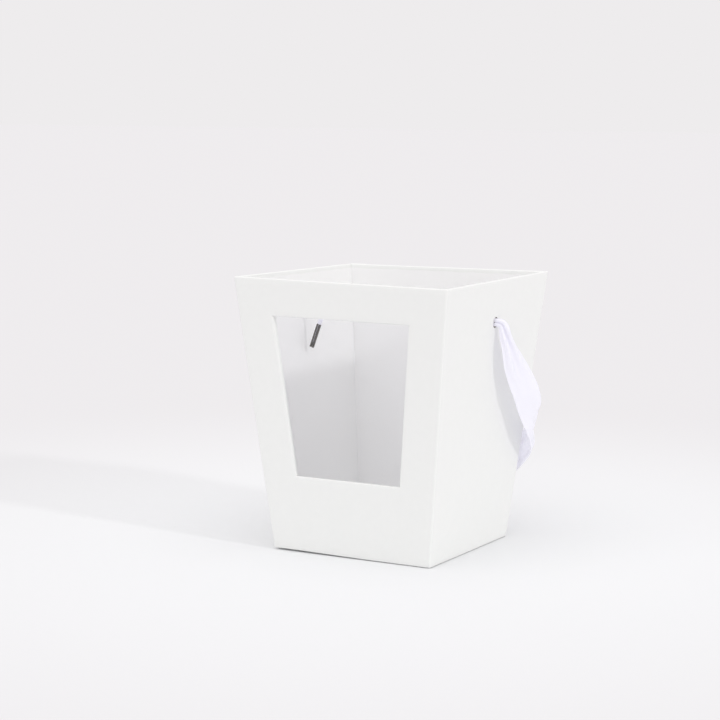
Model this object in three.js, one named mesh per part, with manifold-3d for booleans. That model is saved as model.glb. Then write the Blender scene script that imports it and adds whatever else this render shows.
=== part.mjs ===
// Ribbon-handled flower box: a square, tapered paperboard pail with a film window in its front,
// carried by one satin ribbon whose crimped ends hang inside the two side walls.
//
// Millimetres, +Z up. The origin is the middle of the foot, on the surface that the box stands on.
// The window faces -Y, and the ribbon runs through the walls at +X and -X.
import * as THREE from 'three';
import { ConvexGeometry } from 'three/addons/geometries/ConvexGeometry.js';
import { mergeVertices } from 'three/addons/utils/BufferGeometryUtils.js';
import Module from 'manifold-3d';

const wasm = await Module();
wasm.setup();

// ---- Driving dimensions -------------------------------------------------------------------------

const HEIGHT = 200; // floor to rim
const TOP_WIDTH = 171.5; // outside, at the rim
const FOOT_WIDTH = 128; // outside, at the foot
const BOARD = 2; // greyboard panels
const PAPER = 0.25; // wrap, lining and underside papers
const TAPE = 0.2; // gummed stay tape on the corners
const TAPE_REACH = 15; // how far a stay tape reaches each way from its corner
const FILM = 0.2; // clear window film
const GLUE_GAP = 0.1; // between two glued layers
const CORNER_GAP = 0.3; // between two panels that meet at a corner
const RIM_TURN_IN = 14; // wrap folded down inside the rim
const FOOT_TURN_IN = 15; // wrap folded in under the foot
const LINING_DROP = 3; // the lining stops this far below the rim
const UNDERSIDE_INSET = 4; // the underside paper stops this far inside the foot's edge

const WINDOW_SIDE_MARGIN = 28; // wall left beside the window, along X
const WINDOW_TOP_MARGIN = 26.7; // wall left above the window
const WINDOW_FOOT_MARGIN = 57; // wall left below the window
const WINDOW_TURN_IN = 10; // wrap folded back behind the window's edges
const FILM_LAP = 9; // film glued down beyond the window's edges
const LINING_SETBACK = 2; // the lining's cut-out is this much larger than the window

const HOLE_DROP = 30; // from the rim down to the ribbon holes' centres
const HOLE_RADIUS = 4;
const HOLE_SIDES = 24;

const RIBBON_THICKNESS = 0.5;
const RING_SIDES = 10; // points round a ribbon's section
const NECK_CLEARANCE = 1.2; // between the bunched ribbon and the hole
const NECK_FLATTEN = 0.75; // the bunch's depth where it opens out, as a share of its width
const TAIL_GAP = 0.5; // between the handle's neck and the tail that swings beside it
const TAIL_BUNCH = 0.65; // the tail's size where it leaves the hole, as a share of the handle's
const TAIL_STEPS = 24; // sections along a tail
// A tail's arch from the wall to its barb: [share of the way in, rise above the hole, half sizes].
const TAIL_ARCH = [
  [0.35, 0.6, 2.0, 1.4],
  [0.75, -1.2, 1.8, 1.0],
];
const TAIL_DROP = [4.5, 1.5, 0.8]; // above the barb, on its line: [distance, half sizes]

const BARB_LENGTH = 18.7;
const BARB_WIDTH = 3.4;
const BARB_DEPTH = 2.2;
const BARB_WALL = 0.45;
const BARB_SLIT = 0.4; // the open seam of the crimp
const BARB_CORNER = 0.7; // outside radius of the folded strip
const BARB_CORNER_STEPS = 3;
const BARB_GRIP = 15; // ribbon held inside the barb
const BARB_FIT = 0.15; // between the folded ribbon and the inside of the barb
const BARB_ENTRY = 0.8; // above the barb's upper end, where the ribbon is folded to fit it
const BARB_LEAN = 20; // degrees from upright, foot towards the wall
const BARB_STAND_OFF = 14.4; // from the wall's inner face to the barb's upper end
const BARB_DROP = 9.5; // from the hole's centre to the barb's upper end

// Half of the handle, from the right wall's hole to the middle of the loop that has dropped behind
// the box. Fall is the share of the way down from the hole to the loop's middle, half is half of
// the ribbon's width there, and tilt leans its upper edge away from the wall, as a share of half.
const LOOP_HEIGHT = 33; // from the floor up to the loop's middle
const LOOP_STAND_OFF = 8; // from the back wall out to the loop's middle
// The arm hangs beside the wall: [out from the hole's mouth, back from the hole, fall, half, tilt].
const ARM_ROUTE = [
  [4.5, 1.5, 0.011, 3.4, 0.05],
  [8, 7, 0.08, 5.5, 0.1],
  [9.5, 19, 0.212, 10.3, 0.18],
  [9.5, 30.5, 0.336, 12, 0.26],
  [9, 42.5, 0.453, 12.5, 0.4],
  [7, 53, 0.551, 12.5, 0.33],
];
// The loop rounds the corner: [out from the side wall, out from the back wall, fall, half, tilt].
const LOOP_ROUTE = [
  [12, -10, 0.642, 11.5, 0.15],
  [6, 0.5, 0.734, 10.5, 0.03],
  [-5.3, 6.5, 0.818, 10.5, 0.06],
  [-24, 8.5, 0.912, 11.5, 0.1],
  [-46, 8, 0.978, 12.5, 0.1],
];
const HANDLE_STEPS = 48; // sections along half of the handle

// ---- Worked out from them -----------------------------------------------------------------------

const TAPER = (TOP_WIDTH - FOOT_WIDTH) / 2 / HEIGHT;
const LEAN = Math.hypot(1, TAPER); // a layer's horizontal depth for each unit of its real depth

// Depth of each layer below the wall's outer face.
const TAPE_OUT = PAPER + GLUE_GAP;
const BOARD_OUT = TAPE_OUT + TAPE + GLUE_GAP;
const BOARD_IN = BOARD_OUT + BOARD;
const TURN_OUT = BOARD_IN + GLUE_GAP;
const TURN_IN = TURN_OUT + PAPER;
const LINING_OUT = TURN_IN + GLUE_GAP;
const LINING_IN = LINING_OUT + PAPER;
const FRONT_LINING_OUT = LINING_OUT + FILM + GLUE_GAP;
const FRONT_LINING_IN = FRONT_LINING_OUT + PAPER;

// Heights of each layer at the foot and the rim.
const WRAP_LOW = PAPER + GLUE_GAP;
const BOARD_LOW = WRAP_LOW + PAPER + GLUE_GAP;
const BOARD_HIGH = HEIGHT - PAPER - GLUE_GAP;
const FLOOR_LOW = BOARD_LOW + BOARD + GLUE_GAP;
const LINING_LOW = FLOOR_LOW + PAPER + GLUE_GAP;
const LINING_HIGH = HEIGHT - LINING_DROP;
const HOLE_Z = HEIGHT - HOLE_DROP;

const WINDOW_LOW = WINDOW_FOOT_MARGIN;
const WINDOW_HIGH = HEIGHT - WINDOW_TOP_MARGIN;

// Half of the box's width at a height, on the layer at a depth below its outer face.
function halfWidth(z, depth = 0) {
  return FOOT_WIDTH / 2 + TAPER * z - depth * LEAN;
}

// ---- Materials ----------------------------------------------------------------------------------

function finish(color, roughness, metalness = 0, opacity = 1) {
  return new THREE.MeshStandardMaterial({
    color, roughness, metalness, opacity, transparent: opacity < 1,
  });
}

const greyboard = () => finish(0xa9a59c, 0.9);
const artPaper = () => finish(0xf4f4f1, 0.55);
const liningPaper = () => finish(0xeeeef0, 0.7);
const kraftTape = () => finish(0xd9cdb8, 0.85);
const clearFilm = () => finish(0xf2f5ff, 0.08, 0, 0.2);
const satin = () => finish(0xf1f1f8, 0.4);
const darkSteel = () => finish(0x4a4a4c, 0.4, 0.9);

// ---- Solids -------------------------------------------------------------------------------------

function positionsOnly(geometry) {
  const bare = geometry.clone();
  bare.deleteAttribute('normal');
  bare.deleteAttribute('uv');
  return mergeVertices(bare);
}

function toSolid(geometry) {
  const bare = positionsOnly(geometry);
  return new wasm.Manifold(new wasm.Mesh({
    numProp: 3,
    vertProperties: new Float32Array(bare.attributes.position.array),
    triVerts: new Uint32Array(bare.index.array),
  }));
}

function toGeometry(solid) {
  const mesh = solid.getMesh();
  const geometry = new THREE.BufferGeometry();
  geometry.setAttribute('position', new THREE.BufferAttribute(mesh.vertProperties, 3));
  geometry.setIndex(new THREE.BufferAttribute(mesh.triVerts, 1));
  geometry.computeVertexNormals();
  return geometry;
}

// The convex solid between two rectangles, each [low x, low y, high x, high y, z].
function between(lower, upper) {
  const corners = [lower, upper].flatMap(([x0, y0, x1, y1, z]) => [
    new THREE.Vector3(x0, y0, z),
    new THREE.Vector3(x1, y0, z),
    new THREE.Vector3(x0, y1, z),
    new THREE.Vector3(x1, y1, z),
  ]);
  return new ConvexGeometry(corners);
}

// One mitred wall layer on the front, between two depths and two heights.
function wallLayer(outer, inner, low, high) {
  const corners = [low, high].flatMap((z) => [outer, inner].flatMap((depth) => {
    const half = halfWidth(z, depth);
    return [-1, 1].map((side) => new THREE.Vector3(side * (half - CORNER_GAP), -half, z));
  }));
  return new ConvexGeometry(corners);
}

// A solid that passes through the front wall with the window's outline, grown on every side.
function windowPlug(grow) {
  const rectangle = (z) => {
    const half = halfWidth(z) - WINDOW_SIDE_MARGIN + grow;
    return [-half, -TOP_WIDTH, half, 0, z];
  };
  return toSolid(between(rectangle(WINDOW_LOW - grow), rectangle(WINDOW_HIGH + grow)));
}

// The two ribbon holes, as one rod from side to side.
function holeRod() {
  const rod = new THREE.CylinderGeometry(HOLE_RADIUS, HOLE_RADIUS, 2 * TOP_WIDTH, HOLE_SIDES);
  rod.rotateZ(Math.PI / 2);
  rod.translate(0, 0, HOLE_Z);
  return toSolid(rod);
}

// A square tube with a closed [half width, z] outline for its wall.
function squareRing(outline) {
  const corner = outline.map(([half, z]) => new THREE.Vector2(half * Math.SQRT2, z));
  const ring = new THREE.LatheGeometry([...corner, corner[0].clone()], 4, Math.PI / 4);
  ring.rotateX(Math.PI / 2);
  return toSolid(ring);
}

// A flat sheet or board across the box, between two heights.
function floorLayer(half, low, thickness) {
  const plate = new THREE.BoxGeometry(2 * half, 2 * half, thickness);
  plate.translate(0, 0, low + thickness / 2);
  return plate;
}

// A closed skin over rings of points, with both ends capped.
function loft(rings) {
  const count = rings[0].length;
  const points = rings.flat();
  const faces = [];
  for (let row = 0; row + 1 < rings.length; row += 1) {
    for (let side = 0; side < count; side += 1) {
      const next = (side + 1) % count;
      const [a, b] = [row * count + side, row * count + next];
      faces.push(a, b, b + count, a, b + count, a + count);
    }
  }
  const last = (rings.length - 1) * count;
  for (let side = 1; side + 1 < count; side += 1) {
    faces.push(0, side + 1, side, last, last + side, last + side + 1);
  }
  const geometry = new THREE.BufferGeometry().setFromPoints(points);
  geometry.setIndex(faces);
  geometry.computeVertexNormals();
  return geometry;
}

// An oval ring of points: half sizes a along across, and b along through.
function ovalRing(centre, across, through, a, b) {
  return Array.from({ length: RING_SIDES }, (_, k) => {
    const turn = (2 * Math.PI * k) / RING_SIDES;
    return centre.clone()
      .addScaledVector(across, a * Math.cos(turn))
      .addScaledVector(through, b * Math.sin(turn));
  });
}

// ---- Walls, base and papers ---------------------------------------------------------------------

const SIDES = { front: 0, right: 1, back: 2, left: 3 }; // quarter turns about Z

// A layer's geometry for one side, with the window or the ribbon hole cut where that side has one.
function sidePanel(side, outer, inner, low, high, windowGrow) {
  const layer = wallLayer(outer, inner, low, high).rotateZ((SIDES[side] * Math.PI) / 2);
  if (side === 'front') return toGeometry(toSolid(layer).subtract(windowPlug(windowGrow)));
  if (side === 'back') return layer;
  return toGeometry(toSolid(layer).subtract(holeRod()));
}

function boardPanel(side) {
  return sidePanel(side, BOARD_OUT, BOARD_IN, BOARD_LOW, BOARD_HIGH, PAPER + GLUE_GAP);
}

function liningPanel(side) {
  const [outer, inner] = side === 'front'
    ? [FRONT_LINING_OUT, FRONT_LINING_IN]
    : [LINING_OUT, LINING_IN];
  return sidePanel(side, outer, inner, LINING_LOW, LINING_HIGH, LINING_SETBACK);
}

// A stay tape folded round one upright corner, between the boards and the wrap.
function cornerTape(quarterTurns) {
  const edge = (depth, z) => [halfWidth(z, depth), z];
  const [low, high] = [BOARD_LOW, BOARD_HIGH];
  const ring = squareRing([
    edge(TAPE_OUT, low),
    edge(TAPE_OUT, high),
    edge(TAPE_OUT + TAPE, high),
    edge(TAPE_OUT + TAPE, low),
  ]);
  const rectangle = (z) => {
    const inside = halfWidth(z) - TAPE_REACH;
    return [inside, inside, halfWidth(z) + TAPE_REACH, halfWidth(z) + TAPE_REACH, z];
  };
  const corner = toSolid(between(rectangle(low - 1), rectangle(high + 1)));
  return toGeometry(ring.intersect(corner)).rotateZ((quarterTurns * Math.PI) / 2);
}

// The wrap: one sheet round all four walls, turned in over the rim, under the foot and through the
// window.
function outerWrap() {
  const turnLow = HEIGHT - RIM_TURN_IN;
  const under = halfWidth(WRAP_LOW) - FOOT_TURN_IN;
  const sheet = squareRing([
    [under, WRAP_LOW],
    [halfWidth(WRAP_LOW), WRAP_LOW],
    [halfWidth(HEIGHT), HEIGHT],
    [halfWidth(HEIGHT, TURN_IN), HEIGHT],
    [halfWidth(turnLow, TURN_IN), turnLow],
    [halfWidth(turnLow, TURN_OUT), turnLow],
    [halfWidth(HEIGHT - PAPER, TURN_OUT), HEIGHT - PAPER],
    [halfWidth(HEIGHT - PAPER, PAPER), HEIGHT - PAPER],
    [halfWidth(WRAP_LOW + PAPER, PAPER), WRAP_LOW + PAPER],
    [under, WRAP_LOW + PAPER],
  ]);
  const opening = windowPlug(0);
  const wall = (outer) => toSolid(wallLayer(outer, TURN_IN, BOARD_LOW, HEIGHT - PAPER));
  const reveal = wall(0).intersect(windowPlug(PAPER));
  const flap = wall(TURN_OUT).intersect(windowPlug(WINDOW_TURN_IN));
  return toGeometry(sheet.add(reveal).add(flap).subtract(opening).subtract(holeRod()));
}

function windowFilm() {
  const sheet = toSolid(wallLayer(LINING_OUT, LINING_OUT + FILM, BOARD_LOW, BOARD_HIGH));
  return toGeometry(sheet.intersect(windowPlug(FILM_LAP)));
}

// ---- Ribbon and barbs ---------------------------------------------------------------------------

const MOUTH = halfWidth(HOLE_Z); // the hole's outer mouth, along X
const INNER_MOUTH = halfWidth(HOLE_Z, LINING_IN);
const BUNCH = HOLE_RADIUS - NECK_CLEARANCE; // radius of the ribbon where a hole bunches it
const TAIL_START = INNER_MOUTH - TAIL_GAP; // the pivot that the tail swings about
const NECK_END = TAIL_START + BUNCH * TAIL_BUNCH + TAIL_GAP;

// The handle's knots on the +X side, each { place, half, depth, tilt }.
function handleKnots() {
  const heightAt = (fall) => HOLE_Z - fall * (HOLE_Z - LOOP_HEIGHT);
  const flat = RIBBON_THICKNESS / 2;
  const neck = [[NECK_END, BUNCH], [MOUTH + 1, BUNCH * NECK_FLATTEN]].map(
    ([x, depth]) => ({ place: new THREE.Vector3(x, 0, HOLE_Z), half: BUNCH, depth, tilt: 0 }),
  );
  const arm = ARM_ROUTE.map(([out, back, fall, half, tilt]) => ({
    place: new THREE.Vector3(MOUTH + out, back, heightAt(fall)), half, depth: flat, tilt,
  }));
  const loop = LOOP_ROUTE.map(([out, behind, fall, half, tilt]) => {
    const z = heightAt(fall);
    const wall = halfWidth(z);
    return { place: new THREE.Vector3(wall + out, wall + behind, z), half, depth: flat, tilt };
  });
  const middle = {
    ...loop.at(-1),
    place: new THREE.Vector3(0, halfWidth(LOOP_HEIGHT) + LOOP_STAND_OFF, LOOP_HEIGHT),
  };
  return [...neck, ...arm, ...loop, middle];
}

// The handle as one closed solid: its two arms and the loop behind the box.
function ribbonHandle() {
  const knots = handleKnots();
  const line = new THREE.CatmullRomCurve3(knots.map(({ place }) => place));
  const section = new THREE.CatmullRomCurve3(
    knots.map(({ half, depth, tilt }) => new THREE.Vector3(half, depth, tilt)),
  );
  const rings = [];
  for (let step = 0; step <= HANDLE_STEPS; step += 1) {
    const at = step / HANDLE_STEPS;
    const along = line.getTangent(at);
    if (step === HANDLE_STEPS) along.set(-1, 0, 0);
    const outward = new THREE.Vector3(along.y, -along.x, 0).normalize();
    const up = outward.clone().cross(along).normalize();
    const away = along.clone().cross(up).normalize();
    const { x: half, y: depth, z: tilt } = section.getPoint(at);
    const across = up.multiplyScalar(Math.sqrt(1 - tilt * tilt)).addScaledVector(away, tilt);
    const through = along.clone().cross(across).normalize();
    rings.push(ovalRing(line.getPoint(at), across, through, half, depth));
  }
  const mirrored = rings.slice(0, -1).reverse().map(
    (ring) => ring.map((point) => new THREE.Vector3(-point.x, point.y, point.z)),
  );
  return loft([...rings, ...mirrored]);
}

// The barb's upper end on the +X side, and the direction from its foot to that end.
const BARB_TOP = new THREE.Vector3(
  halfWidth(HOLE_Z - BARB_DROP, LINING_IN) - BARB_STAND_OFF, 0, HOLE_Z - BARB_DROP,
);
const LEAN_ANGLE = THREE.MathUtils.degToRad(BARB_LEAN);
const BARB_UP = new THREE.Vector3(-Math.sin(LEAN_ANGLE), 0, Math.cos(LEAN_ANGLE));

// The ribbon inside the wall: out of the hole, over in a small arch, and down into the barb.
function ribbonTail(side) {
  const inBarb = [BARB_WIDTH, BARB_DEPTH].map((size) => size / 2 - BARB_WALL - BARB_FIT);
  const onBarbLine = (distance) => BARB_TOP.clone().addScaledVector(BARB_UP, distance);
  const inwards = TAIL_START - BARB_TOP.x;
  const arch = TAIL_ARCH.map(([share, rise, ...half]) => [
    new THREE.Vector3(TAIL_START - inwards * share, 0, HOLE_Z + rise), ...half,
  ]);
  const [dropDistance, ...dropHalf] = TAIL_DROP;
  const knots = [
    [new THREE.Vector3(TAIL_START, 0, HOLE_Z), BUNCH * TAIL_BUNCH, BUNCH * TAIL_BUNCH],
    ...arch,
    [onBarbLine(dropDistance), ...dropHalf],
    [onBarbLine(BARB_ENTRY), ...inBarb],
    [onBarbLine(-BARB_GRIP), ...inBarb],
  ];
  const line = new THREE.CatmullRomCurve3(knots.map(([point]) => point));
  const section = new THREE.CatmullRomCurve3(knots.map(([, a, b]) => new THREE.Vector3(a, b, 0)));
  const rings = [];
  for (let step = 0; step <= TAIL_STEPS; step += 1) {
    const at = step / TAIL_STEPS;
    const through = new THREE.Vector3(0, 1, 0);
    const across = through.clone().cross(line.getTangent(at)).normalize();
    const { x: a, y: b } = section.getPoint(at);
    rings.push(ovalRing(line.getPoint(at), across, through, a, b));
  }
  if (side < 0) rings.reverse();
  return loft(rings.map((ring) => ring.map(
    (point) => new THREE.Vector3(side * point.x, point.y, point.z),
  )));
}

// The barb's section, once round from one side of the slit to the other.
function sleeveLoop(inset) {
  const [halfX, halfY] = [BARB_WIDTH / 2 - inset, BARB_DEPTH / 2 - inset];
  const radius = BARB_CORNER - inset;
  const points = [new THREE.Vector2(BARB_SLIT / 2, -halfY)];
  [[1, -1], [1, 1], [-1, 1], [-1, -1]].forEach(([sideX, sideY], quarter) => {
    const centre = new THREE.Vector2(sideX * (halfX - radius), sideY * (halfY - radius));
    for (let step = 0; step <= BARB_CORNER_STEPS; step += 1) {
      const turn = (quarter - 1 + step / BARB_CORNER_STEPS) * (Math.PI / 2);
      const spoke = new THREE.Vector2(Math.cos(turn), Math.sin(turn));
      points.push(centre.clone().addScaledVector(spoke, radius));
    }
  });
  points.push(new THREE.Vector2(-BARB_SLIT / 2, -halfY));
  return points;
}

// A strip of steel folded round the ribbon's end, with its open seam on the -Y side.
function barb(side) {
  const shape = new THREE.Shape([...sleeveLoop(0), ...sleeveLoop(BARB_WALL).reverse()]);
  const sleeve = new THREE.ExtrudeGeometry(shape, { depth: BARB_LENGTH, bevelEnabled: false });
  const foot = BARB_TOP.clone().addScaledVector(BARB_UP, -BARB_LENGTH);
  sleeve.rotateY(-side * LEAN_ANGLE);
  sleeve.translate(side * foot.x, foot.y, foot.z);
  return sleeve;
}

// ---- The box, piece by piece --------------------------------------------------------------------

const box = new THREE.Group();

function place(name, geometry, material) {
  const mesh = new THREE.Mesh(geometry, material);
  mesh.name = name;
  box.add(mesh);
}

Object.keys(SIDES).forEach((side) => {
  place(`${side}_board`, boardPanel(side), greyboard());
  place(`${side}_lining`, liningPanel(side), liningPaper());
});
['back_right', 'back_left', 'front_left', 'front_right'].forEach((corner, quarterTurns) => {
  place(`${corner}_corner_tape`, cornerTape(quarterTurns), kraftTape());
});
place('outer_wrap', outerWrap(), artPaper());
place('window_film', windowFilm(), clearFilm());

const betweenBoards = halfWidth(BOARD_LOW, BOARD_IN) - GLUE_GAP;
const betweenLinings = halfWidth(FLOOR_LOW, FRONT_LINING_IN) - GLUE_GAP;
place('base_board', floorLayer(betweenBoards, BOARD_LOW, BOARD), greyboard());
place('base_lining', floorLayer(betweenLinings, FLOOR_LOW, PAPER), liningPaper());
place('underside_paper', floorLayer(FOOT_WIDTH / 2 - UNDERSIDE_INSET, 0, PAPER), artPaper());

place('ribbon_handle', ribbonHandle(), satin());
[['right', 1], ['left', -1]].forEach(([name, side]) => {
  place(`${name}_ribbon_tail`, ribbonTail(side), satin());
  place(`${name}_barb`, barb(side), darkSteel());
});

export default box;
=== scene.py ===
# %% [markdown]
# # A ribbon-handled flower box
#
# The object is a rigid pail of greyboard, wrapped in white art paper, with a clear window in its
# front and one satin ribbon for a handle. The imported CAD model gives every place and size. Here
# each layer is made again as the thin, folded sheet that it really is, and given its own finish.
# Everything is in metres, +Z up, with the window facing -Y.

# %% Load the frame
import math

import bmesh
import bpy
import numpy as np
from mathutils import Matrix, Vector


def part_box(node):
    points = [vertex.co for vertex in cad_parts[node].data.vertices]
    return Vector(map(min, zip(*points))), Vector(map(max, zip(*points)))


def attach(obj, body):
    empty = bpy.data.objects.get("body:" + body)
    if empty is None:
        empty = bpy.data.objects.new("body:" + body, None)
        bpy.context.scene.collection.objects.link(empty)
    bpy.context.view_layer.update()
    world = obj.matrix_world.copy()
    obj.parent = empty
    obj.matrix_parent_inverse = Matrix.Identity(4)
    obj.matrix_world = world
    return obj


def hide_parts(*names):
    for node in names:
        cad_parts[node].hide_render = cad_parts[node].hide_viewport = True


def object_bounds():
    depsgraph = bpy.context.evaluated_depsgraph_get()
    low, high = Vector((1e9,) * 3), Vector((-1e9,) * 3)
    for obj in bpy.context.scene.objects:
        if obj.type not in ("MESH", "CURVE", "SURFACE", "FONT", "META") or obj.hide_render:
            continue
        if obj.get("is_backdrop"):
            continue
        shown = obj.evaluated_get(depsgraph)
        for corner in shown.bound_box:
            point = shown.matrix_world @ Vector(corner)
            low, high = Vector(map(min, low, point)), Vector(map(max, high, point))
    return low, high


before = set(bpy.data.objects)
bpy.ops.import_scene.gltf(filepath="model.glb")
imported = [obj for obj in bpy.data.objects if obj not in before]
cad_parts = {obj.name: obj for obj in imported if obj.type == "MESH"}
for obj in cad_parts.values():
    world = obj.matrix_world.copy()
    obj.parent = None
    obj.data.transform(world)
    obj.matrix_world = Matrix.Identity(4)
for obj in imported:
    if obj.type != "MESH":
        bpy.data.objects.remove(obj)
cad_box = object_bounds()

# %% [markdown]
# ## Sizes
#
# The outside comes from the frame, and the layers below it are the paper's and board's own
# thicknesses. Each wall leans out by the same taper, so one function gives half of the box's width
# at any height, for any layer. A depth is measured inwards from the wall's outer face.

# %% Sizes of the box
MM = 0.001
wrap_low, wrap_high = (Vector(corner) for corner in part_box("outer_wrap"))
under_low, under_high = (Vector(corner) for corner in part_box("underside_paper"))

HEIGHT = wrap_high.z
TOP_WIDTH = wrap_high.x - wrap_low.x
UNDERSIDE_INSET = 4 * MM
FOOT_WIDTH = under_high.x - under_low.x + 2 * UNDERSIDE_INSET
TAPER = (TOP_WIDTH - FOOT_WIDTH) / 2 / HEIGHT
LEAN = math.hypot(1, TAPER)

PAPER = 0.25 * MM
GLUE_GAP = 0.1 * MM
WRAP_LOW = wrap_low.z
TURN_IN = 3.0 * MM  # depth of the wrap's face side where it is turned in behind the board


def half_width(z, depth=0.0):
    """Half of the box's width at a height, on the layer at this depth."""
    return FOOT_WIDTH / 2 + TAPER * z - depth * LEAN


print(f"box {TOP_WIDTH / MM:.1f} mm at the rim, {FOOT_WIDTH / MM:.1f} mm at the foot")
print(f"height {HEIGHT / MM:.1f} mm, walls lean {math.degrees(math.atan(TAPER)):.1f} degrees")

# %% [markdown]
# ## Camera
#
# A long lens from a little above the rim, turned so that the window wall and the right wall with
# its ribbon both show. A long lens keeps the upright edges nearly parallel.

# %% Camera
CAMERA_PLACE = Vector((0.6947, -1.3203, 0.3202))
CAMERA_TURN = math.radians(28.71)
CAMERA_DIP = math.radians(6.99)
CAMERA_ROLL = math.radians(0.40)
SENSOR_WIDTH = 36
LENS = 101.7

camera_data = bpy.data.cameras.new("camera")
camera_data.sensor_width = SENSOR_WIDTH
camera_data.lens = LENS
camera = bpy.data.objects.new("camera", camera_data)
bpy.context.scene.collection.objects.link(camera)
bpy.context.scene.camera = camera
aim = (
    Matrix.Rotation(CAMERA_TURN, 3, "Z")
    @ Matrix.Rotation(math.pi / 2 - CAMERA_DIP, 3, "X")
    @ Matrix.Rotation(CAMERA_ROLL, 3, "Z")
)
camera.matrix_world = Matrix.Translation(CAMERA_PLACE) @ aim.to_4x4()
print(f"camera {CAMERA_PLACE.length:.2f} m away, lens {LENS:.0f} mm")

# %% [markdown]
# ## Helpers for materials
#
# Colours are written as sRGB hex, as on a paint card, and turned to the linear values that Cycles
# works in. One function adds any node, sets its properties and joins its inputs.


# %% Material helpers
def linear(hex_colour):
    """A linear RGBA colour from sRGB hex."""
    channels = [int(hex_colour[i : i + 2], 16) / 255 for i in (1, 3, 5)]
    return [c / 12.92 if c <= 0.04045 else ((c + 0.055) / 1.055) ** 2.4 for c in channels] + [1.0]


def add_node(tree, kind, inputs=None, **settings):
    """Add one node: settings are its properties, inputs its sockets' values or incoming links."""
    node = tree.nodes.new(kind)
    for name, value in settings.items():
        setattr(node, name, value)
    for socket, value in (inputs or {}).items():
        if isinstance(value, bpy.types.NodeSocket):
            tree.links.new(value, node.inputs[socket])
        else:
            node.inputs[socket].default_value = value
    return node


def new_material(name):
    """A material with an empty tree and its output node."""
    material = bpy.data.materials.new(name)
    material.use_nodes = True
    material.node_tree.nodes.clear()
    output = add_node(material.node_tree, "ShaderNodeOutputMaterial")
    return material, material.node_tree, output


print(f"middle grey, #808080, is {linear('#808080')[0]:.3f} in linear light")

# %% [markdown]
# ## Papers
#
# The wrap is coated art paper: bleached pulp with a clay coating, rolled smooth. It is a clean
# white with the softest gloss, and only raking light shows its fibre clumps (formation), which
# are a few millimetres wide. The lining is uncoated paper, so it is rougher and its fibres show
# more. One function makes both, because only their colours, gloss and grain differ.


# %% Paper materials
def paper_material(name, light, dark, roughness, clump, grain, relief):
    """Paper: clump and grain are the sizes of its formation and its fibres, relief their height."""
    material, tree, output = new_material(name)
    place = add_node(tree, "ShaderNodeTexCoord").outputs["Object"]
    clumps = add_node(tree, "ShaderNodeTexNoise", {"Vector": place, "Scale": 1 / clump, "Detail": 3.0})
    fibres = add_node(tree, "ShaderNodeTexNoise", {"Vector": place, "Scale": 1 / grain, "Detail": 4.0})
    tone = add_node(tree, "ShaderNodeMix", {"Factor": clumps.outputs["Fac"]}, data_type="RGBA")
    tone.inputs["A"].default_value = linear(dark)
    tone.inputs["B"].default_value = linear(light)
    gloss = add_node(tree, "ShaderNodeMapRange", {"Value": fibres.outputs["Fac"]})
    gloss.inputs["To Min"].default_value = roughness - 0.05
    gloss.inputs["To Max"].default_value = roughness + 0.05
    bump = add_node(tree, "ShaderNodeBump", {"Height": fibres.outputs["Fac"], "Distance": relief})
    bump.inputs["Strength"].default_value = 0.5
    shader = add_node(tree, "ShaderNodeBsdfPrincipled", {
        "Base Color": tone.outputs["Result"],
        "Roughness": gloss.outputs["Result"],
        "Normal": bump.outputs["Normal"],
        "IOR": 1.5,
    })
    tree.links.new(shader.outputs["BSDF"], output.inputs["Surface"])
    return material


# Coated art paper: clay coating fills the fibres, so the grain is shallow and the gloss satin.
art_paper = paper_material(
    "coated art paper, white", "#F1F2F0", "#EEEFED", 0.5,
    clump=5 * MM, grain=0.5 * MM, relief=0.01 * MM,
)
# Uncoated woodfree paper: bare fibres, matt, with a grain that is just visible close up.
lining_paper = paper_material(
    "uncoated lining paper, white", "#F6F6F6", "#F4F4F3", 0.8,
    clump=3 * MM, grain=0.4 * MM, relief=0.03 * MM,
)
# Gummed kraft tape: strong brown-white paper, with the glaze of its dried glue.
kraft_tape = paper_material(
    "gummed kraft tape", "#D9CDB8", "#C9BBA2", 0.7,
    clump=2 * MM, grain=0.4 * MM, relief=0.03 * MM,
)
print("papers:", "; ".join(paper.name for paper in (art_paper, lining_paper, kraft_tape)))

# %% [markdown]
# ## Greyboard
#
# Greyboard is pressed from waste paper, so it is a grey-brown felt of short fibres with darker
# flecks of old ink. It shows only where the wrap leaves it bare: in the ribbon holes and in the
# slits where two folds of paper meet.


# %% Greyboard material
def greyboard_material():
    """Recycled board: felted fibres with flecks of ink."""
    material, tree, output = new_material("greyboard, recycled")
    place = add_node(tree, "ShaderNodeTexCoord").outputs["Object"]
    felt = add_node(tree, "ShaderNodeTexNoise", {
        "Vector": place, "Scale": 1 / (0.7 * MM), "Detail": 5.0,
    })
    flecks = add_node(tree, "ShaderNodeTexVoronoi", {"Vector": place, "Scale": 1 / (1.6 * MM)})
    ramp = add_node(tree, "ShaderNodeValToRGB", {"Fac": felt.outputs["Fac"]})
    dark, light = ramp.color_ramp.elements
    dark.position, dark.color = 0.35, linear("#918C83")
    light.position, light.color = 0.65, linear("#B4AFA6")
    ink = add_node(tree, "ShaderNodeMapRange", {"Value": flecks.outputs["Distance"]})
    ink.inputs["From Min"].default_value = 0.05
    ink.inputs["From Max"].default_value = 0.12
    tone = add_node(tree, "ShaderNodeMix", {"Factor": ink.outputs["Result"]}, data_type="RGBA")
    tone.inputs["A"].default_value = linear("#6B6863")
    tree.links.new(ramp.outputs["Color"], tone.inputs["B"])
    bump = add_node(tree, "ShaderNodeBump", {"Height": felt.outputs["Fac"], "Distance": 0.05 * MM})
    shader = add_node(tree, "ShaderNodeBsdfPrincipled", {
        "Base Color": tone.outputs["Result"],
        "Roughness": 0.92,
        "Normal": bump.outputs["Normal"],
    })
    tree.links.new(shader.outputs["BSDF"], output.inputs["Surface"])
    return material


greyboard = greyboard_material()
print("board:", greyboard.name)

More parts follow.
